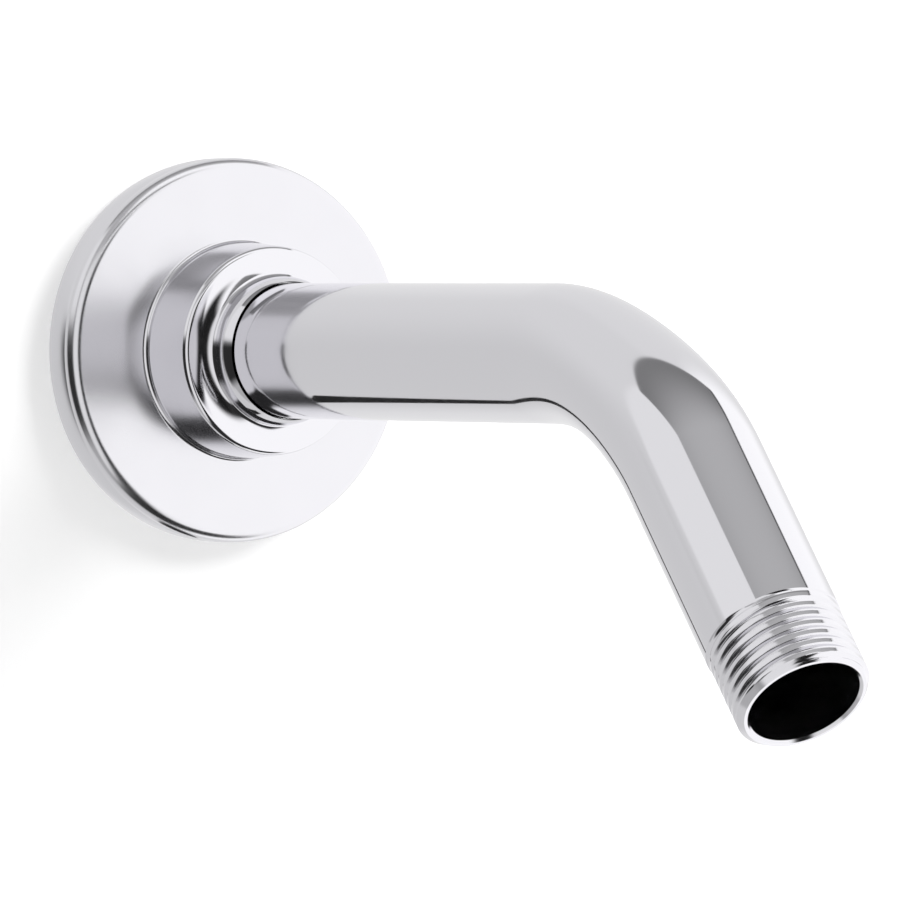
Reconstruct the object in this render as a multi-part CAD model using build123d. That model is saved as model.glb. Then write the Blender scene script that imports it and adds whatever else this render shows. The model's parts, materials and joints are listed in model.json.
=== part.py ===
from build123d import *
import os
from math import cos, pi, radians, sin, tan

# Shower arm: a bent threaded tube, and the wall flange that a rubber ring holds on it.
# The wall is the plane y = 0. The tube leaves it along -Y and bends down to -Z.
# Millimetres and degrees.

# Tube
TUBE_OD = 21.3
TUBE_WALL = 2.0
CORNER_REACH = 126.6
OUTLET_REACH = 69.3
BEND_ANGLE = 47.0
BEND_RADIUS = 55.0

# Section at the middle of the bend: drawn in outside and inside, spread to the sides
DRAWN_IN_OUTSIDE = 1.1
DRAWN_IN_INSIDE = 0.5
SPREAD = 0.3
BEND_STATIONS = 9

# Threaded ends: the thread's outside under the tube's, its lengths, and the bevels at the mouths
THREAD_STEP = 0.18
INLET_BEHIND_WALL = 19.0
INLET_THREAD_BEFORE_WALL = 1.0
OUTLET_THREAD_LENGTH = 13.0
END_BEVEL = 0.9
MOUTH_BEVEL = 0.4

# Rubber ring between the tube and the groove in the flange's boss
RING_SECTION = 2.2
RING_CLEARANCE = 0.1
GROOVE_SIDE_CLEARANCE = 0.15

# Flange, from its rim at the wall to the neck round the tube
FLANGE_OD = 60.8
FLANGE_WALL = 1.4
BEAD_HEIGHT = 5.0
BEAD_DROP_BACK = 0.25
BEAD_DROP_FRONT = 0.45
CREASE_RISE = 0.35
SHOULDER_BAND = 0.35
SHOULDER_RADIUS = 1.9
FACE_RISE = 0.3
HUB_HEIGHT = 11.0
HUB_OVER_GROOVE = 3.4
HUB_TAPER = 0.6
HUB_CROWN = 0.1
HUB_EDGE = 0.9
HUB_FILLET = 0.8
BOSS_DEPTH = 6.0
SWELL_RADIUS = 7.5
SWELL_TILT = 24.0
COVE_RADIUS = 1.1
COVE_TILT = 80.0
NECK_LENGTH = 3.6
NECK_FOOT_WALL = 0.75
NECK_CROWN_WALL = 0.8
NECK_CROWN_BACK = 2.5
FLANGE_CLEARANCE = 0.25

# Places along and round the tube that follow from the sizes
TUBE_R = TUBE_OD / 2
BORE_R = TUBE_R - TUBE_WALL
THREAD_R = TUBE_R - THREAD_STEP
BEND = radians(BEND_ANGLE)
TANGENT = BEND_RADIUS * tan(BEND / 2)
BEND_START = CORNER_REACH - TANGENT
INLET_LENGTH = BEND_START + INLET_BEHIND_WALL
OUTLET_LENGTH = OUTLET_REACH - TANGENT

# Places in the flange that follow from the sizes
RING_R = TUBE_R + RING_CLEARANCE + RING_SECTION / 2
GROOVE_R = RING_R + RING_SECTION / 2 + RING_CLEARANCE
FLANGE_BORE_R = TUBE_R + FLANGE_CLEARANCE
RIM_R = FLANGE_OD / 2
HUB_FRONT_R = GROOVE_R + HUB_OVER_GROOVE
HUB_FOOT_R = HUB_FRONT_R + HUB_TAPER
SHOULDER_FOOT = BEAD_HEIGHT + CREASE_RISE
FACE_EDGE = SHOULDER_FOOT + SHOULDER_BAND + SHOULDER_RADIUS
HUB_FOOT = FACE_EDGE + FACE_RISE
HUB_FRONT = HUB_FOOT + HUB_HEIGHT
SWELL = radians(SWELL_TILT)
COVE = radians(COVE_TILT)
NECK_FOOT_R = FLANGE_BORE_R + NECK_FOOT_WALL
SWELL_END_R = NECK_FOOT_R + COVE_RADIUS * (sin(COVE) - sin(SWELL))
SWELL_START_R = SWELL_END_R + SWELL_RADIUS * sin(SWELL)
SWELL_END = HUB_FRONT + SWELL_RADIUS * (1 - cos(SWELL))
NECK_FOOT = SWELL_END + COVE_RADIUS * (cos(SWELL) - cos(COVE))
NECK_FRONT = NECK_FOOT + NECK_LENGTH
NECK_CROWN = NECK_FRONT - NECK_CROWN_BACK
BOSS_BACK = HUB_FRONT - BOSS_DEPTH
RING_PLACE = HUB_FRONT - BOSS_DEPTH / 2


def bend_plane(share):
    """Plane across the tube at a share of the bend: local z along the tube, local y to its outside."""
    turn = BEND * share
    outward = Vector(0, -sin(turn), cos(turn))
    centre = Vector(0, -BEND_START, -BEND_RADIUS)
    along = Vector(0, -cos(turn), -sin(turn))
    return Plane(origin=centre + outward * BEND_RADIUS, x_dir=(1, 0, 0), z_dir=along)


def bend_section(share, radius):
    """Section of the bent tube, round at both ends of the bend and flattest at its middle."""
    amount = sin(pi * share) ** 2
    half_width = radius + SPREAD * amount
    outside = EllipticalCenterArc((0, 0), half_width, radius - DRAWN_IN_OUTSIDE * amount, 0, arc_size=180)
    inside = EllipticalCenterArc((0, 0), half_width, radius - DRAWN_IN_INSIDE * amount, 180, arc_size=180)
    return bend_plane(share) * make_face([outside, inside])


def bend(radius):
    stations = [step / (BEND_STATIONS - 1) for step in range(BEND_STATIONS)]
    return loft([bend_section(share, radius) for share in stations])


def turned(points):
    """Solid of revolution about local z from points given as radius and height."""
    outline = Polyline(*[(r, 0, z) for r, z in points], close=True)
    return revolve(make_face(outline), Axis.Z)


def leg(length, thread_length):
    """Straight leg from the bend to its bevelled, threaded end."""
    thread_start = length - thread_length
    return turned([
        (0, 0), (TUBE_R, 0), (TUBE_R, thread_start - THREAD_STEP), (THREAD_R, thread_start),
        (THREAD_R, length - END_BEVEL), (THREAD_R - END_BEVEL, length), (0, length),
    ])


def leg_bore(length):
    """Water way of a straight leg, opened a little at the mouth."""
    return turned([
        (0, 0), (BORE_R, 0), (BORE_R, length - MOUTH_BEVEL), (BORE_R + MOUTH_BEVEL, length), (0, length),
    ])


def arm_tube():
    inlet = -bend_plane(0)
    outlet = bend_plane(1)
    outer = inlet * leg(INLET_LENGTH, INLET_BEHIND_WALL + INLET_THREAD_BEFORE_WALL)
    outer += bend(TUBE_R)
    outer += outlet * leg(OUTLET_LENGTH, OUTLET_THREAD_LENGTH)
    water_way = inlet * leg_bore(INLET_LENGTH)
    water_way += bend(BORE_R)
    water_way += outlet * leg_bore(OUTLET_LENGTH)
    return outer - water_way


def flange_outside():
    """Visible side of the flange's section, from the wall to the neck: x is radius, -y is depth."""
    bead_back = (RIM_R - BEAD_DROP_BACK, 0)
    bead_crown = (RIM_R, -BEAD_HEIGHT / 2)
    crease = (RIM_R - BEAD_DROP_FRONT, -BEAD_HEIGHT)
    shoulder_foot = (RIM_R, -SHOULDER_FOOT)
    shoulder_start = (RIM_R, -SHOULDER_FOOT - SHOULDER_BAND)
    face_edge = (RIM_R - SHOULDER_RADIUS, -FACE_EDGE)
    fillet_start = (HUB_FOOT_R + HUB_FILLET, -HUB_FOOT)
    hub_foot = (HUB_FOOT_R, -HUB_FOOT - HUB_FILLET)
    hub_edge = (HUB_FRONT_R, -HUB_FRONT + HUB_EDGE)
    hub_middle = ((HUB_FOOT_R + HUB_FRONT_R) / 2 + HUB_CROWN, (hub_foot[1] + hub_edge[1]) / 2)
    hub_face = (HUB_FRONT_R - HUB_EDGE, -HUB_FRONT)
    swell_start = (SWELL_START_R, -HUB_FRONT)
    swell_end = (SWELL_END_R, -SWELL_END)
    neck_foot = (NECK_FOOT_R, -NECK_FOOT)
    neck_crown = (FLANGE_BORE_R + NECK_CROWN_WALL, -NECK_CROWN)
    neck_end = (FLANGE_BORE_R, -NECK_FRONT)
    return [
        ThreePointArc(bead_back, bead_crown, crease),
        Polyline(crease, shoulder_foot, shoulder_start),
        RadiusArc(shoulder_start, face_edge, SHOULDER_RADIUS),
        Line(face_edge, fillet_start),
        RadiusArc(fillet_start, hub_foot, -HUB_FILLET),
        ThreePointArc(hub_foot, hub_middle, hub_edge),
        RadiusArc(hub_edge, hub_face, HUB_EDGE),
        Line(hub_face, swell_start),
        RadiusArc(swell_start, swell_end, -SWELL_RADIUS),
        RadiusArc(swell_end, neck_foot, -COVE_RADIUS),
        ThreePointArc(neck_foot, neck_crown, neck_end),
    ]


def flange_inside():
    """Hidden side: bore, ring groove, boss, hollow hub and hollow back, from the neck to the wall."""
    groove_front = -RING_PLACE - RING_SECTION / 2 - GROOVE_SIDE_CLEARANCE
    groove_back = -RING_PLACE + RING_SECTION / 2 + GROOVE_SIDE_CLEARANCE
    hub_inside = HUB_FRONT_R - FLANGE_WALL
    rim_inside = RIM_R - BEAD_DROP_FRONT - FLANGE_WALL
    under_face = -FACE_EDGE + FLANGE_WALL
    return Polyline(
        (FLANGE_BORE_R, -NECK_FRONT), (FLANGE_BORE_R, groove_front), (GROOVE_R, groove_front),
        (GROOVE_R, groove_back), (FLANGE_BORE_R, groove_back), (FLANGE_BORE_R, -BOSS_BACK),
        (hub_inside, -BOSS_BACK), (hub_inside, under_face), (rim_inside, under_face),
        (rim_inside, 0), (RIM_R - BEAD_DROP_BACK, 0),
    )


def wall_flange():
    section = make_face([*flange_outside(), flange_inside()])
    return revolve(section, Axis.Y)


def grip_ring():
    return Plane(origin=(0, -RING_PLACE, 0), z_dir=(0, 1, 0)) * Torus(RING_R, RING_SECTION / 2)


os.makedirs("parts", exist_ok=True)
export_step(arm_tube(), "parts/arm_tube.step")
export_step(wall_flange(), "parts/wall_flange.step")
export_step(grip_ring(), "parts/grip_ring.step")
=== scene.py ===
import json
from math import cos, pi, radians, sin, tan

import bmesh
import bpy
from mathutils import Matrix, Vector


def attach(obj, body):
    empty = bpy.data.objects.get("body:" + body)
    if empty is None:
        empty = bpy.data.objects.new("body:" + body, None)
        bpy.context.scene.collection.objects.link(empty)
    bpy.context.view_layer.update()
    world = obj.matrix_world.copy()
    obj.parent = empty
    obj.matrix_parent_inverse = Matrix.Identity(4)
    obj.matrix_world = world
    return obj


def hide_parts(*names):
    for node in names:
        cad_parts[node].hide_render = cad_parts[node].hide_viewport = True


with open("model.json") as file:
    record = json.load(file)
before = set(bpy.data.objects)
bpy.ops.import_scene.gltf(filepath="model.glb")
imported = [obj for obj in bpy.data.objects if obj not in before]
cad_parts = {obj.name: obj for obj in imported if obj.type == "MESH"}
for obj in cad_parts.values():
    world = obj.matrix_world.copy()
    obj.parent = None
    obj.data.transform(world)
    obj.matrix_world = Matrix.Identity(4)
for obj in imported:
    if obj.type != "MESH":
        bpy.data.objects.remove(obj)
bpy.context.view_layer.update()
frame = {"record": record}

# Shower arm: the bent threaded tube, the wall flange and its rubber ring, in the photograph's studio.
# Lengths are in millimetres and angles in degrees. MM turns a length into Blender's metres.
MM = 0.001
MOUNTS = {mount["name"]: mount for mount in frame["record"]["mounts"]}

# Tube, as in the solid
TUBE_OD = 21.3
CORNER_REACH = 126.6
OUTLET_REACH = 69.3
BEND_ANGLE = 47.0
BEND_RADIUS = 55.0
DRAWN_IN_OUTSIDE = 1.1
DRAWN_IN_INSIDE = 0.5
SPREAD = 0.3
INLET_BEHIND_WALL = 19.0
INLET_THREAD_BEFORE_WALL = 1.0
OUTLET_THREAD_LENGTH = 13.0
END_BEVEL = 0.9
MOUTH_BEVEL = 0.4

# Places along and round the tube that follow from its sizes and the frame
TUBE_R = TUBE_OD / 2
THREAD_R = MOUNTS["outlet_thread"]["dims"]["r_mm"]
BORE_R = MOUNTS["inlet_bore"]["dims"]["r_mm"]
BEND = radians(BEND_ANGLE)
TANGENT = BEND_RADIUS * tan(BEND / 2)
BEND_START = CORNER_REACH - TANGENT
INLET_LENGTH = BEND_START + INLET_BEHIND_WALL
INLET_THREAD_LENGTH = INLET_BEHIND_WALL + INLET_THREAD_BEFORE_WALL
BEND_LENGTH = BEND_RADIUS * BEND
BEND_END = INLET_LENGTH + BEND_LENGTH
OUTLET_LENGTH = OUTLET_REACH - TANGENT
TUBE_LENGTH = BEND_END + OUTLET_LENGTH

# Half-inch pipe thread: flat crests between rounded grooves, which run out towards the tube
INCH = 25.4
TURNS_PER_INCH = 14
PITCH = INCH / TURNS_PER_INCH
GROOVE_DEPTH = 0.6
GROOVE_WIDTH = 1.1
GROOVE_FLANK = 0.45
RUN_OUT_TURNS = 1.2
RUN_OUT = RUN_OUT_TURNS * PITCH

# Rubber ring's groove in the flange, as in the solid
RING_SECTION = 2.2
RING_CLEARANCE = 0.1
RING_SIDE_CLEARANCE = 0.15

# Flange, as in the solid, from its rim at the wall to the neck round the tube
FLANGE_OD = 60.8
FLANGE_WALL = 1.4
FLANGE_CLEARANCE = 0.25
BEAD_HEIGHT = 5.0
BEAD_DROP_BACK = 0.25
BEAD_DROP_FRONT = 0.45
CREASE_RISE = 0.35
SHOULDER_BAND = 0.35
SHOULDER_RADIUS = 1.9
FACE_RISE = 0.3
HUB_HEIGHT = 11.0
HUB_OVER_GROOVE = 3.4
HUB_TAPER = 0.6
HUB_CROWN = 0.1
HUB_EDGE = 0.9
HUB_FILLET = 0.8
BOSS_DEPTH = 6.0
SWELL_RADIUS = 7.5
SWELL_TILT = radians(24)
COVE_RADIUS = 1.1
COVE_TILT = radians(80)
NECK_LENGTH = 3.6
NECK_FOOT_WALL = 0.75
NECK_CROWN_WALL = 0.8
NECK_CROWN_BACK = 2.5

# Places in the flange that follow from its sizes
RIM_R = FLANGE_OD / 2
FLANGE_BORE_R = TUBE_R + FLANGE_CLEARANCE
RING_GROOVE_R = TUBE_R + RING_SECTION + 2 * RING_CLEARANCE
RING_GROOVE_HALF = RING_SECTION / 2 + RING_SIDE_CLEARANCE
HUB_FRONT_R = RING_GROOVE_R + HUB_OVER_GROOVE
HUB_FOOT_R = HUB_FRONT_R + HUB_TAPER
SHOULDER_FOOT = BEAD_HEIGHT + CREASE_RISE
FACE_EDGE = SHOULDER_FOOT + SHOULDER_BAND + SHOULDER_RADIUS
HUB_FOOT = FACE_EDGE + FACE_RISE
HUB_FRONT = HUB_FOOT + HUB_HEIGHT
NECK_FOOT_R = FLANGE_BORE_R + NECK_FOOT_WALL
SWELL_END_R = NECK_FOOT_R + COVE_RADIUS * (sin(COVE_TILT) - sin(SWELL_TILT))
SWELL_START_R = SWELL_END_R + SWELL_RADIUS * sin(SWELL_TILT)
SWELL_END = HUB_FRONT + SWELL_RADIUS * (1 - cos(SWELL_TILT))
NECK_FOOT = SWELL_END + COVE_RADIUS * (cos(SWELL_TILT) - cos(COVE_TILT))
NECK_FRONT = NECK_FOOT + NECK_LENGTH
NECK_CROWN_R = FLANGE_BORE_R + NECK_CROWN_WALL
NECK_CROWN = NECK_FRONT - NECK_CROWN_BACK
BOSS_BACK = HUB_FRONT - BOSS_DEPTH
RING_PLACE = HUB_FRONT - BOSS_DEPTH / 2
RING_GROOVE_FRONT = RING_PLACE + RING_GROOVE_HALF
RING_GROOVE_BACK = RING_PLACE - RING_GROOVE_HALF

# How finely the meshes are cut
TUBE_SIDES = 144
FLANGE_SIDES = 288
INLET_ROWS = 12
BEND_ROWS = 72
OUTLET_ROWS = 6
STEP_ROWS = 1
ROWS_PER_TURN = 18
BORE_BEND_ROWS = 36
BORE_OUTLET_ROWS = 8
MOUTH_ROW = 4 * MOUTH_BEVEL
ARC_STEPS = 12
SHARP_ANGLE = radians(32)
JOIN_DISTANCE = 0.001

# Camera, fitted to the outlines in the photograph's 900 pixel frame
PHOTO_SIDE = 900
VIEW_AZIMUTH = radians(-31.25)
VIEW_ELEVATION = radians(0.08)
VIEW_ROLL = radians(1.23)
VIEW_DISTANCE = 1844.0
VIEW_LIMIT = 100000.0
PIXELS_PER_MM = 6.31
AIM_PIXEL = (219.98, 350.12)
AIM_POINT = Vector((0, -1.52, 0))
SENSOR = 36.0

# Finishes: roughness, how much it varies, and the size of the marks per metre
CHROME_COLOUR = (0.745, 0.739, 0.770, 1)
TUBE_ROUGHNESS = 0.06
THREAD_ROUGHNESS = 0.13
HUB_ROUGHNESS = 0.09
FACE_ROUGHNESS = 0.22
SMEAR = 0.012
SMEAR_SCALE = 160.0
BUFFING_SCALE = 90.0
BUFFING_HEIGHT = 0.004
RUBBER_DARK = (0.010, 0.010, 0.010, 1)
RUBBER_PALE = (0.030, 0.030, 0.031, 1)
RUBBER_ROUGHNESS = (0.55, 0.75)
RUBBER_GRAIN = 2500.0
RUBBER_BUMP = 0.05
NOISE_RANGE = (0.3, 0.7)

# Stage: pale wall and floor, and the dark bar on the wall
STAGE_COLOUR = (0.8, 0.8, 0.8, 1)
STAGE_REACH = 2500.0
STAGE_GLOW = 0.42
WALL_GAP = 0.1
FLOOR_LEVEL = -260.0
BAR_SIDES = (-12.0, -3.0)
BAR_ENDS = (-72.0, -33.0)
BAR_COLOUR = (0.01, 0.01, 0.01, 1)

# Light that dull surfaces get, and the key light that casts the shadow
WHITE = (1, 1, 1, 1)
AMBIENT = 0.4
KEY_PLACE = Vector((420, -520, 420))
KEY_SIZE = 420.0
KEY_POWER = 5.0

# Studio behind the cards: one strength up to level, another from some way up
BACK_LEVEL = 0.75
BACK_HIGH_LEVEL = 0.85
BACK_RISE = 40.0
LEAST_RISE = 0.001

# Cards round the part: azimuths, elevations, soft edge and strength
FULL_HEIGHT = (-90, 90)
RIGHT_BACK = ((100, 170), FULL_HEIGHT, 20, 0.88)
RIGHT_FRONT = ((-22, 122), FULL_HEIGHT, 20, 1.25)
LEFT = ((-118, -22), FULL_HEIGHT, 10, 0.52)
LEFT_HIGH = ((-122, -70), (9, 75), 4, 0.96)
CAMERA_SIDE = ((-57, -16), (-60, 34), 6, 0.95)
LEFT_FLAG = ((-126, -60), (-40, 9), 14, 0.03)
FRONT_FLAG = ((-14, 12), (-48, 22), 10, 0.015)

# Cards overhead: reach across and ahead per unit of height, soft edge, strength at the back and the front
OVERHEAD = ((-0.66, 0.82), (-0.36, 0.3), 0.03, 0.24, 0.56)
OVERHEAD_EDGE = ((0.76, 0.82), (-0.36, 0.3), 0.03, 0.12, 0.12)
OVERHEAD_FRONT = ((-0.61, 0.5), (1.05, 1.68), 0.08, 0.2, 0.3)

# Dark floors: reach across and ahead per unit of depth, soft edge and strength
FLOOR_WIDE = ((-0.4, 0.75), (0.15, 1.0), 0.2, 0.03)
FLOOR_LONG = ((-0.4, 0.2), (0.0, 1.72), 0.1, 0.03)

# All of them in the order in which they are laid over each other
CARDS = (RIGHT_BACK, RIGHT_FRONT, LEFT, LEFT_HIGH, CAMERA_SIDE, LEFT_FLAG, FRONT_FLAG)
CEILINGS = (OVERHEAD, OVERHEAD_EDGE, OVERHEAD_FRONT)
FLOORS = (FLOOR_WIDE, FLOOR_LONG)


def join_doubles(mesh):
    """Merge points that fall on each other, which also drops the faces between them."""
    work = bmesh.new()
    work.from_mesh(mesh)
    bmesh.ops.remove_doubles(work, verts=work.verts, dist=JOIN_DISTANCE * MM)
    work.to_mesh(mesh)
    work.free()


def make_object(name, vertices, faces):
    mesh = bpy.data.meshes.new(name)
    mesh.from_pydata([Vector(v) * MM for v in vertices], [], faces)
    join_doubles(mesh)
    mesh.shade_smooth()
    mesh.set_sharp_from_angle(angle=SHARP_ANGLE)
    piece = bpy.data.objects.new(name, mesh)
    bpy.context.scene.collection.objects.link(piece)
    return piece


def closed_grid(rings, seam=None):
    """Quads between neighbouring rings, round each ring and from the last ring back to the first.

    The seam gives, for each ring, the ring whose first point follows this ring's last one."""
    count = len(rings)
    sides = len(rings[0])
    seam = seam or list(range(count))
    vertices = [point for ring in rings for point in ring]
    faces = []
    for i in range(count):
        after = (i + 1) % count
        here, there = i * sides, after * sides
        for k in range(sides - 1):
            faces.append((here + k, here + k + 1, there + k + 1, there + k))
        faces.append((here + sides - 1, seam[i] * sides, seam[after] * sides, there + sides - 1))
    return vertices, faces


def bend_share(s):
    """How much of the bend lies before a length s from the inlet's end, from 0 to 1."""
    return min(max((s - INLET_LENGTH) / BEND_LENGTH, 0), 1)


def tube_place(s):
    """Axis point and outward direction at a length s from the inlet's end."""
    turn = BEND * bend_share(s)
    outward = Vector((0, -sin(turn), cos(turn)))
    along = Vector((0, -cos(turn), -sin(turn)))
    centre = Vector((0, -BEND_START, -BEND_RADIUS))
    beyond = min(s - INLET_LENGTH, 0) + max(s - INLET_LENGTH - BEND_LENGTH, 0)
    return centre + outward * BEND_RADIUS + along * beyond, outward


def section_point(s, angle, radius):
    """Point of the tube's section: round on the legs, drawn in and spread inside the bend."""
    place, outward = tube_place(s)
    amount = sin(pi * bend_share(s)) ** 2
    drawn_in = DRAWN_IN_OUTSIDE if sin(angle) > 0 else DRAWN_IN_INSIDE
    sideways = (radius + SPREAD * amount) * cos(angle)
    outside = (radius - drawn_in * amount) * sin(angle)
    return place + Vector((sideways, 0, 0)) + outward * outside


def groove_depth(phase):
    """Depth of the thread's groove at a share of its pitch: flat crest, rounded flanks, rounded root."""
    into = (GROOVE_WIDTH / 2 - abs(phase - 0.5) * PITCH) / GROOVE_FLANK
    into = min(max(into, 0), 1)
    return GROOVE_DEPTH * into * into * (3 - 2 * into)


def thread_radius(s, from_end, thread_length, angle):
    """Outside radius at a threaded end: bevel at the mouth, turns, run-out and the step up to the tube."""
    if from_end > thread_length:
        return min(TUBE_R, THREAD_R + from_end - thread_length)
    phase = (s / PITCH - angle / (2 * pi)) % 1
    fade = min((thread_length - from_end) / RUN_OUT, 1)
    turned = THREAD_R - groove_depth(phase) * fade
    return min(turned, THREAD_R - END_BEVEL + from_end)


def outside_radius(s, angle):
    """Outside radius of the tube before any flattening, with the thread at both ends."""
    from_outlet = TUBE_LENGTH - s
    if s < INLET_LENGTH:
        return thread_radius(s, s, INLET_THREAD_LENGTH, angle)
    if from_outlet < OUTLET_LENGTH:
        return thread_radius(s, from_outlet, OUTLET_THREAD_LENGTH, angle)
    return TUBE_R


def spread(start, end, count):
    """Even steps from start to just before end."""
    return [start + (end - start) * i / count for i in range(count)]


def plain_rows(start, end, count):
    """Rings straight round the tube, each as one length per side, from start to just before end."""
    return [[s] * TUBE_SIDES for s in spread(start, end, count)]


def thread_rows(start, end):
    """Rings that climb one pitch a turn as the thread does, held between the thread's two ends."""
    count = round((end - start) / PITCH * ROWS_PER_TURN) + ROWS_PER_TURN + 1
    rows = []
    for j in range(count + 1):
        climb = [j / ROWS_PER_TURN - 1 + k / TUBE_SIDES for k in range(TUBE_SIDES)]
        rows.append([min(max(start + turns * PITCH, start), end) for turns in climb])
    return rows


def outside_rows():
    """Rings of the tube's outside, and for each the ring that it runs into after one turn."""
    step = TUBE_R - THREAD_R
    outlet_thread = TUBE_LENGTH - OUTLET_THREAD_LENGTH
    zones = [
        thread_rows(0, INLET_THREAD_LENGTH),
        plain_rows(INLET_THREAD_LENGTH + step, INLET_LENGTH, INLET_ROWS),
        plain_rows(INLET_LENGTH, BEND_END, BEND_ROWS),
        plain_rows(BEND_END, outlet_thread - step, OUTLET_ROWS),
        plain_rows(outlet_thread - step, outlet_thread, STEP_ROWS),
        thread_rows(outlet_thread, TUBE_LENGTH),
    ]
    rows = []
    seam = []
    for zone in zones:
        first = len(rows)
        last = first + len(zone) - 1
        middle = zone[len(zone) // 2]
        ahead = ROWS_PER_TURN if middle[0] != middle[-1] else 0
        seam += [min(i + ahead, last) for i in range(first, last + 1)]
        rows += zone
    return rows, seam


def bore_stations():
    """Lengths along the water way, from the outlet's mouth back to the inlet's, with the radius at each."""
    stations = [
        TUBE_LENGTH - MOUTH_BEVEL,
        *spread(TUBE_LENGTH - MOUTH_ROW, BEND_END, BORE_OUTLET_ROWS),
        *spread(BEND_END, INLET_LENGTH, BORE_BEND_ROWS),
        *spread(INLET_LENGTH, MOUTH_ROW, INLET_ROWS),
        MOUTH_ROW,
        MOUTH_BEVEL,
    ]
    mouth = BORE_R + MOUTH_BEVEL
    return [(TUBE_LENGTH, mouth), *[(s, BORE_R) for s in stations], (0, mouth)]


def build_arm():
    angles = spread(0, 2 * pi, TUBE_SIDES)
    rows, seam = outside_rows()
    rings = []
    for row in rows:
        rings.append([section_point(s, a, outside_radius(s, a)) for s, a in zip(row, angles)])
    for s, radius in bore_stations():
        seam.append(len(rings))
        rings.append([section_point(s, a, radius) for a in angles])
    return make_object("arm_tube_chrome", *closed_grid(rings, seam))


def three_point_arc(first, middle, last):
    """Points from first to just before last, on the circle through the three points."""
    (x1, y1), (x2, y2), (x3, y3) = first, middle, last
    d = 2 * (x1 * (y2 - y3) + x2 * (y3 - y1) + x3 * (y1 - y2))
    q1, q2, q3 = x1 * x1 + y1 * y1, x2 * x2 + y2 * y2, x3 * x3 + y3 * y3
    centre = Vector((
        (q1 * (y2 - y3) + q2 * (y3 - y1) + q3 * (y1 - y2)) / d,
        (q1 * (x3 - x2) + q2 * (x1 - x3) + q3 * (x2 - x1)) / d,
    ))
    to_first = Vector(first) - centre
    to_middle = Vector(middle) - centre
    to_last = Vector(last) - centre
    sweep = to_first.angle_signed(to_middle) + to_middle.angle_signed(to_last)
    turns = [Matrix.Rotation(-sweep * i / ARC_STEPS, 2) for i in range(ARC_STEPS)]
    return [tuple(centre + turn @ to_first) for turn in turns]


def hollow_arc(first, radius, first_tilt, last_tilt):
    """Hollow arc from first to just before its end, given by how far it tilts from facing ahead."""
    across = first[0] + radius * sin(first_tilt)
    depth = first[1] + radius * cos(first_tilt)
    tilts = spread(first_tilt, last_tilt, ARC_STEPS)
    return [(across - radius * sin(tilt), depth - radius * cos(tilt)) for tilt in tilts]


def quarter_round(first, last, corner, radius):
    """Quarter round from first to just before last, with its middle towards the corner."""
    inner = Vector(first) + Vector(last) - Vector(corner)
    middle = inner + (Vector(corner) - inner).normalized() * radius
    return three_point_arc(first, tuple(middle), last)


def flange_outside():
    """Visible side of the flange's section, from the wall to the neck: radius and depth from the wall."""
    bead_back = (RIM_R - BEAD_DROP_BACK, 0)
    bead_crown = (RIM_R, BEAD_HEIGHT / 2)
    crease = (RIM_R - BEAD_DROP_FRONT, BEAD_HEIGHT)
    shoulder_start = (RIM_R, SHOULDER_FOOT + SHOULDER_BAND)
    face_edge = (RIM_R - SHOULDER_RADIUS, FACE_EDGE)
    fillet_start = (HUB_FOOT_R + HUB_FILLET, HUB_FOOT)
    hub_foot = (HUB_FOOT_R, HUB_FOOT + HUB_FILLET)
    hub_edge = (HUB_FRONT_R, HUB_FRONT - HUB_EDGE)
    hub_middle = ((HUB_FOOT_R + HUB_FRONT_R) / 2 + HUB_CROWN, (hub_foot[1] + hub_edge[1]) / 2)
    hub_face = (HUB_FRONT_R - HUB_EDGE, HUB_FRONT)
    neck_end = (FLANGE_BORE_R, NECK_FRONT)
    return [
        *three_point_arc(bead_back, bead_crown, crease), crease,
        (RIM_R, SHOULDER_FOOT),
        *quarter_round(shoulder_start, face_edge, (RIM_R, FACE_EDGE), SHOULDER_RADIUS), face_edge,
        *quarter_round(fillet_start, hub_foot, (HUB_FOOT_R, HUB_FOOT), HUB_FILLET),
        *three_point_arc(hub_foot, hub_middle, hub_edge),
        *quarter_round(hub_edge, hub_face, (HUB_FRONT_R, HUB_FRONT), HUB_EDGE), hub_face,
        *hollow_arc((SWELL_START_R, HUB_FRONT), SWELL_RADIUS, 0, SWELL_TILT),
        *hollow_arc((SWELL_END_R, SWELL_END), COVE_RADIUS, SWELL_TILT, COVE_TILT),
        *three_point_arc((NECK_FOOT_R, NECK_FOOT), (NECK_CROWN_R, NECK_CROWN), neck_end), neck_end,
    ]


def flange_inside():
    """Hidden side: bore, ring groove, boss, hollow hub and hollow back, from the neck to the wall."""
    hub_inside = HUB_FRONT_R - FLANGE_WALL
    rim_inside = RIM_R - BEAD_DROP_FRONT - FLANGE_WALL
    under_face = FACE_EDGE - FLANGE_WALL
    return [
        (FLANGE_BORE_R, RING_GROOVE_FRONT), (RING_GROOVE_R, RING_GROOVE_FRONT),
        (RING_GROOVE_R, RING_GROOVE_BACK), (FLANGE_BORE_R, RING_GROOVE_BACK),
        (FLANGE_BORE_R, BOSS_BACK), (hub_inside, BOSS_BACK),
        (hub_inside, under_face), (rim_inside, under_face), (rim_inside, 0),
    ]


def build_flange():
    angles = spread(0, 2 * pi, FLANGE_SIDES)
    rings = []
    for radius, depth in [*flange_outside(), *flange_inside()]:
        rings.append([(radius * cos(a), -depth, radius * sin(a)) for a in angles])
    return make_object("wall_flange_chrome", *closed_grid(rings))


def add_node(tree, kind, inputs, **settings):
    """New node with its settings, and its inputs given as values or as sockets to link."""
    node = tree.nodes.new(kind)
    for name, value in settings.items():
        setattr(node, name, value)
    for key, value in inputs.items():
        if isinstance(value, bpy.types.NodeSocket):
            tree.links.new(value, node.inputs[key])
        else:
            node.inputs[key].default_value = value
    return node


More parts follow.
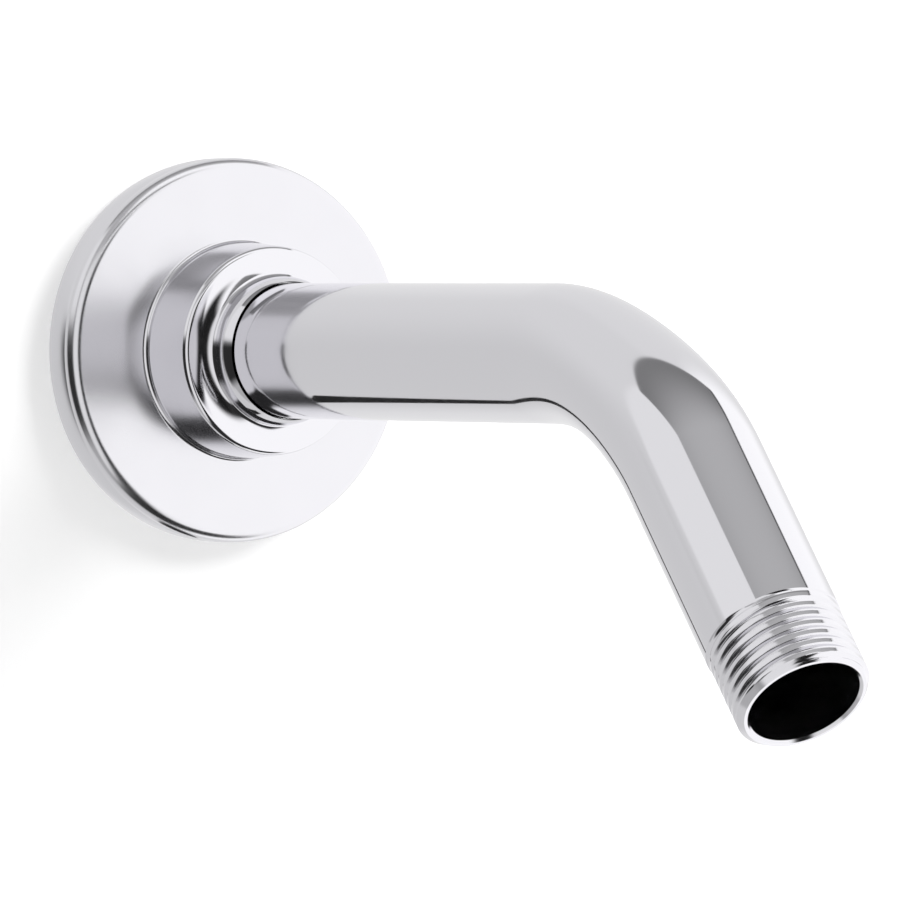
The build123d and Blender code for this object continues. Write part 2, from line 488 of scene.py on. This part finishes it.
def compute(tree, operation, *values):
    """Math node on values or sockets."""
    return add_node(tree, "ShaderNodeMath", dict(enumerate(values)), operation=operation).outputs[0]


def compute_vector(tree, operation, *values):
    """Outputs of a vector math node on values or sockets: Vector and Value."""
    return add_node(tree, "ShaderNodeVectorMath", dict(enumerate(values)), operation=operation).outputs


def ramp(tree, value, start, end, low=0.0, high=1.0):
    """Smooth change from low to high while the value goes from start to end."""
    inputs = {"Value": value, "From Min": start, "From Max": end, "To Min": low, "To Max": high}
    return add_node(tree, "ShaderNodeMapRange", inputs, interpolation_type="SMOOTHSTEP").outputs[0]


def noise(tree, place, scale):
    return add_node(tree, "ShaderNodeTexNoise", {"Vector": place, "Scale": scale}).outputs["Fac"]


def new_material(name):
    material = bpy.data.materials.new(name)
    material.use_nodes = True
    tree = material.node_tree
    place = tree.nodes.new("ShaderNodeTexCoord").outputs["Object"]
    return material, tree, tree.nodes["Principled BSDF"], place


def bump(tree, shader, height, depth):
    node = add_node(tree, "ShaderNodeBump", {"Height": height, "Distance": depth * MM})
    tree.links.new(node.outputs["Normal"], shader.inputs["Normal"])


def polish(tree, shader, place, roughness):
    """Chrome plate: cool metal, a polish that varies a little, and the faint waves that buffing leaves."""
    shader.inputs["Base Color"].default_value = CHROME_COLOUR
    shader.inputs["Metallic"].default_value = 1
    uneven = ramp(tree, noise(tree, place, SMEAR_SCALE), *NOISE_RANGE, -SMEAR, SMEAR)
    tree.links.new(compute(tree, "ADD", roughness, uneven), shader.inputs["Roughness"])
    bump(tree, shader, noise(tree, place, BUFFING_SCALE), BUFFING_HEIGHT)


def tube_chrome():
    """Mirror polish on the tube, a duller one on the cut thread at the outlet."""
    material, tree, shader, place = new_material("chrome_tube")
    end, outward = tube_place(TUBE_LENGTH)
    along = Vector((0, -outward.z, outward.y))
    from_end = compute_vector(tree, "SUBTRACT", place, end * MM)["Vector"]
    ahead = compute_vector(tree, "DOT_PRODUCT", from_end, along)["Value"]
    thread = -OUTLET_THREAD_LENGTH * MM
    full = thread + RUN_OUT * MM
    polish(tree, shader, place, ramp(tree, ahead, thread, full, TUBE_ROUGHNESS, THREAD_ROUGHNESS))
    return material


def flange_chrome():
    """Mirror polish on the hub and the neck, a softer one on the face and the rim round them."""
    material, tree, shader, place = new_material("chrome_flange")
    flat = compute_vector(tree, "MULTIPLY", place, (1, 0, 1))["Vector"]
    from_axis = compute_vector(tree, "LENGTH", flat)["Value"]
    foot = HUB_FOOT_R * MM
    face = (HUB_FOOT_R + HUB_FILLET) * MM
    polish(tree, shader, place, ramp(tree, from_axis, foot, face, HUB_ROUGHNESS, FACE_ROUGHNESS))
    return material


def mix_colours(tree, factor, first, second):
    """Mix of two colours. The mix node has sockets of several kinds, of which this takes the colours."""
    node = tree.nodes.new("ShaderNodeMix")
    node.data_type = "RGBA"
    tree.links.new(factor, node.inputs["Factor"])
    first_input, second_input = [socket for socket in node.inputs if socket.type == "RGBA"]
    first_input.default_value = first
    second_input.default_value = second
    return next(socket for socket in node.outputs if socket.type == "RGBA")


def ring_rubber():
    """Black moulded rubber: dull, with a fine grain."""
    material, tree, shader, place = new_material("black_rubber")
    grain = noise(tree, place, RUBBER_GRAIN)
    colour = mix_colours(tree, grain, RUBBER_DARK, RUBBER_PALE)
    tree.links.new(colour, shader.inputs["Base Color"])
    tree.links.new(ramp(tree, grain, *NOISE_RANGE, *RUBBER_ROUGHNESS), shader.inputs["Roughness"])
    bump(tree, shader, grain, RUBBER_BUMP)
    return material


def pale_stage(name):
    """Pale one-sided paint that keeps shadows and is white to the camera."""
    material = bpy.data.materials.new(name)
    material.use_nodes = True
    tree = material.node_tree
    tree.nodes.clear()
    to_camera = tree.nodes.new("ShaderNodeLightPath").outputs["Is Camera Ray"]
    behind = tree.nodes.new("ShaderNodeNewGeometry").outputs["Backfacing"]
    diffuse = add_node(tree, "ShaderNodeBsdfDiffuse", {"Color": STAGE_COLOUR})
    strength = compute(tree, "MULTIPLY", to_camera, STAGE_GLOW)
    glow = add_node(tree, "ShaderNodeEmission", {"Strength": strength})
    lit = add_node(tree, "ShaderNodeAddShader", {0: diffuse.outputs[0], 1: glow.outputs[0]})
    clear = tree.nodes.new("ShaderNodeBsdfTransparent")
    mix = add_node(tree, "ShaderNodeMixShader", {0: behind, 1: lit.outputs[0], 2: clear.outputs[0]})
    add_node(tree, "ShaderNodeOutputMaterial", {"Surface": mix.outputs[0]})
    return material


def stage_sheet(name, corners, material):
    """Flat stage sheet from its corners in order."""
    sheet = make_object(name, corners, [tuple(range(len(corners)))])
    sheet.data.materials.append(material)
    return sheet


def upright(sides, ends, y):
    """Corners of an upright sheet that faces away from the wall."""
    (left, right), (foot, top) = sides, ends
    return [(left, y, foot), (right, y, foot), (right, y, top), (left, y, top)]


def build_surroundings():
    """Wall behind the flange and floor below it, which mirrors don't show."""
    wide, low = STAGE_REACH, FLOOR_LEVEL
    wall = upright((-wide, wide), (low, wide), WALL_GAP)
    floor = [(-wide, -wide, low), (wide, -wide, low), (wide, WALL_GAP, low), (-wide, WALL_GAP, low)]
    for name, corners in (("wall", wall), ("floor", floor)):
        sheet = stage_sheet(name, corners, pale_stage(name + "_paint"))
        sheet.visible_glossy = False


def build_bar():
    """Dark bar on the wall below the flange, which only mirrors show: the line under the tube."""
    black = bpy.data.materials.new("bar_black")
    black.use_nodes = True
    black.node_tree.nodes["Principled BSDF"].inputs["Base Color"].default_value = BAR_COLOUR
    bar = stage_sheet("bar", upright(BAR_SIDES, BAR_ENDS, 0), black)
    bar.visible_camera = False
    bar.visible_diffuse = False
    bar.visible_shadow = False


class Studio:
    """Light seen by direction: azimuth 0 ahead of the wall, 90 to the right, and elevation from level."""

    def __init__(self, tree):
        self.tree = tree
        direction = tree.nodes.new("ShaderNodeTexCoord").outputs["Generated"]
        axes = add_node(tree, "ShaderNodeSeparateXYZ", {0: direction}).outputs
        forward = compute(tree, "MULTIPLY", axes["Y"], -1)
        below = compute(tree, "MULTIPLY", axes["Z"], -1)
        up = compute(tree, "MAXIMUM", axes["Z"], LEAST_RISE)
        down = compute(tree, "MAXIMUM", below, LEAST_RISE)
        self.azimuth = compute(tree, "DEGREES", compute(tree, "ARCTAN2", axes["X"], forward))
        self.elevation = compute(tree, "DEGREES", compute(tree, "ARCSINE", axes["Z"]))
        self.across = compute(tree, "DIVIDE", axes["X"], up)
        self.ahead = compute(tree, "DIVIDE", forward, up)
        self.across_below = compute(tree, "DIVIDE", axes["X"], down)
        self.ahead_below = compute(tree, "DIVIDE", forward, down)
        self.level = ramp(tree, self.elevation, 0, BACK_RISE, BACK_LEVEL, BACK_HIGH_LEVEL)

    def inside(self, value, span, soft):
        """1 inside a span of a value and 0 outside it, with soft edges."""
        first, last = span
        rising = ramp(self.tree, value, first - soft / 2, first + soft / 2)
        falling = ramp(self.tree, value, last + soft / 2, last - soft / 2)
        return compute(self.tree, "MULTIPLY", rising, falling)

    def lay(self, one_way, other_way, strength):
        """Put a card of a strength over what is there, where both of its masks are 1."""
        mask = compute(self.tree, "MULTIPLY", one_way, other_way)
        change = compute(self.tree, "SUBTRACT", strength, self.level)
        self.level = compute(self.tree, "MULTIPLY_ADD", mask, change, self.level)

    def card(self, azimuths, elevations, soft, strength):
        """Card round the part."""
        sideways = self.inside(self.azimuth, azimuths, soft)
        upward = self.inside(self.elevation, elevations, soft)
        self.lay(sideways, upward, strength)

    def ceiling(self, across, ahead, soft, back_strength, front_strength):
        """Card overhead, whose strength changes from the wall to the front."""
        sideways = self.inside(self.across, across, soft)
        forward = self.inside(self.ahead, ahead, soft)
        self.lay(sideways, forward, ramp(self.tree, self.ahead, *ahead, back_strength, front_strength))

    def floor(self, across, ahead, soft, strength):
        """Card below the part."""
        sideways = self.inside(self.across_below, across, soft)
        forward = self.inside(self.ahead_below, ahead, soft)
        self.lay(sideways, forward, strength)


def light_studio():
    """World that is the studio in mirrors, white to the camera and even light on dull surfaces."""
    world = bpy.data.worlds.new("studio")
    bpy.context.scene.world = world
    world.use_nodes = True
    tree = world.node_tree
    studio = Studio(tree)
    for card in CARDS:
        studio.card(*card)
    for ceiling in CEILINGS:
        studio.ceiling(*ceiling)
    for floor in FLOORS:
        studio.floor(*floor)
    path = tree.nodes.new("ShaderNodeLightPath").outputs
    mirrored = compute(tree, "MAXIMUM", path["Is Glossy Ray"], path["Is Transmission Ray"])
    plain = compute(tree, "MAXIMUM", path["Is Camera Ray"], AMBIENT)
    seen = compute(tree, "SUBTRACT", studio.level, plain)
    strength = compute(tree, "MULTIPLY_ADD", mirrored, seen, plain)
    tree.links.new(strength, tree.nodes["Background"].inputs["Strength"])
    tree.nodes["Background"].inputs["Color"].default_value = WHITE


def add_key_light():
    """Soft light from the front right and above, which mirrors don't show."""
    key = bpy.data.objects.new("key_light", bpy.data.lights.new("key_light", "AREA"))
    key.data.size = KEY_SIZE * MM
    key.data.energy = KEY_POWER
    key.location = KEY_PLACE * MM
    key.rotation_euler = (-KEY_PLACE).to_track_quat("-Z", "Y").to_euler()
    key.visible_glossy = False
    bpy.context.scene.collection.objects.link(key)


def place_camera():
    """Camera of the fitted view: the aim point falls on its pixel, at the fitted distance, turn and roll."""
    level_right = Vector((cos(VIEW_AZIMUTH), sin(VIEW_AZIMUTH), 0))
    forward = Vector((
        -sin(VIEW_AZIMUTH) * cos(VIEW_ELEVATION),
        cos(VIEW_AZIMUTH) * cos(VIEW_ELEVATION),
        -sin(VIEW_ELEVATION),
    ))
    level_up = level_right.cross(forward)
    right = cos(VIEW_ROLL) * level_right + sin(VIEW_ROLL) * level_up
    up = -sin(VIEW_ROLL) * level_right + cos(VIEW_ROLL) * level_up
    across = (AIM_PIXEL[0] - PHOTO_SIDE / 2) / PIXELS_PER_MM
    down = (AIM_PIXEL[1] - PHOTO_SIDE / 2) / PIXELS_PER_MM
    place = AIM_POINT - VIEW_DISTANCE * forward - across * right + down * up
    camera = bpy.data.objects.new("camera", bpy.data.cameras.new("camera"))
    camera.data.sensor_width = SENSOR
    camera.data.lens = VIEW_DISTANCE * PIXELS_PER_MM / PHOTO_SIDE * SENSOR
    camera.data.clip_end = VIEW_LIMIT * MM
    turn = Matrix((right, up, -forward)).transposed().to_4x4()
    camera.matrix_world = Matrix.Translation(place * MM) @ turn
    bpy.context.scene.collection.objects.link(camera)
    bpy.context.scene.camera = camera


arm = build_arm()
arm.data.materials.append(tube_chrome())
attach(arm, "arm")
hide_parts("arm_tube")

flange = build_flange()
flange.data.materials.append(flange_chrome())
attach(flange, "flange")
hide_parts("wall_flange")

ring = bpy.data.objects["grip_ring"]
ring.data.materials.clear()
ring.data.materials.append(ring_rubber())

build_surroundings()
build_bar()
light_studio()
add_key_light()
place_camera()
bpy.context.scene.view_settings.view_transform = "Standard"
